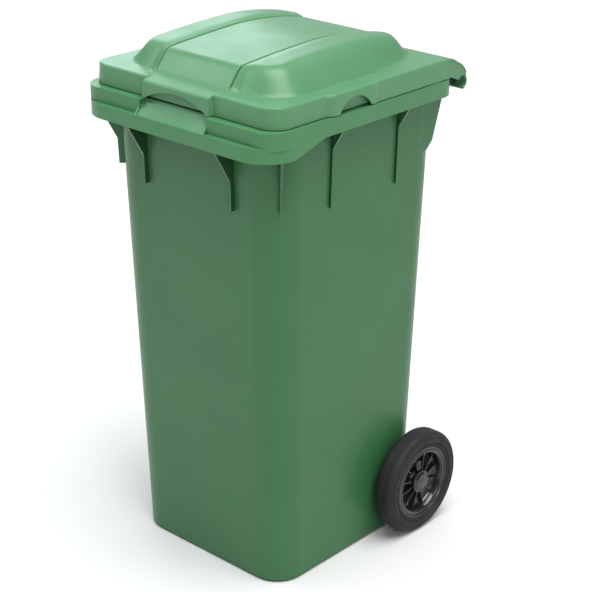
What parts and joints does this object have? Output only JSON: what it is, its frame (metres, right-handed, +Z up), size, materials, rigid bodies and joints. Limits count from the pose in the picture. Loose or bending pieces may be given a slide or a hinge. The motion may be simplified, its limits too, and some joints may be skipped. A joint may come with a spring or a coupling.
{
  "type": "wheelie bin",
  "caption": "Two-wheeled upright refuse bin with a tapered green body, comb-lift rim, domed hinged lid, rear grip bars and solid-tyred wheels on a steel axle.",
  "frame": {"origin": "centre of the bounding box's bottom face, on the ground", "axes": "+Z up, -Y towards the front of the bin (the comb lip), +Y towards the wheels and grip bars, X across the width along the axle"},
  "size_m": [0.476, 0.516, 0.956],
  "materials": {
    "green_body": "satin",
    "green_lid": "satin",
    "zinc_steel": "satin",
    "tyre_rubber": "matte",
    "rim_plastic": "glossy",
    "bush_plastic": "satin",
    "spring_steel": "satin",
    "pin_plastic": "satin"
  },
  "bodies": {
    "bin": {"container": "green_body", "hinge_pin_left": "pin_plastic", "hinge_pin_right": "pin_plastic", "hinge_clip_left": "spring_steel", "hinge_clip_right": "spring_steel"},
    "lid": {"lid": "green_lid"},
    "axle": {"axle": "zinc_steel", "axle_washer_left": "bush_plastic", "axle_washer_right": "bush_plastic"},
    "wheel_left": {"tyre_left": "tyre_rubber", "wheel_rim_left": "rim_plastic", "hub_bush_left": "bush_plastic", "hub_cap_left": "rim_plastic", "latch_spring_left": "spring_steel"},
    "wheel_right": {"tyre_right": "tyre_rubber", "wheel_rim_right": "rim_plastic", "hub_bush_right": "bush_plastic", "hub_cap_right": "rim_plastic", "latch_spring_right": "spring_steel"},
    "latch_left": {"latch_pin_left": "zinc_steel"},
    "latch_right": {"latch_pin_right": "zinc_steel"}
  },
  "joints": [
    {"name": "lid_hinge", "type": "hinge", "parent": "bin", "child": "lid", "pos_m": [0, 0.243, 0.857], "axis": [-1, 0, 0], "range_deg": [0, 222]},
    {"name": "axle_spin", "type": "hinge", "parent": "bin", "child": "axle", "pos_m": [0, 0.158, 0.1], "axis": [1, 0, 0], "continuous": true},
    {"name": "wheel_left_spin", "type": "hinge", "parent": "axle", "child": "wheel_left", "pos_m": [0.217, 0.158, 0.1], "axis": [1, 0, 0], "continuous": true},
    {"name": "wheel_right_spin", "type": "hinge", "parent": "axle", "child": "wheel_right", "pos_m": [-0.217, 0.158, 0.1], "axis": [1, 0, 0], "continuous": true},
    {"name": "latch_left_slide", "type": "slide", "parent": "wheel_left", "child": "latch_left", "axis": [0, 0, 1], "range_m": [0, 0.0025], "stiffness_N_per_m": 400, "springref_m": -0.002, "deforming": ["latch_spring_left"]},
    {"name": "latch_right_slide", "type": "slide", "parent": "wheel_right", "child": "latch_right", "axis": [0, 0, 1], "range_m": [0, 0.0025], "stiffness_N_per_m": 400, "springref_m": -0.002, "deforming": ["latch_spring_right"]}
  ]
}
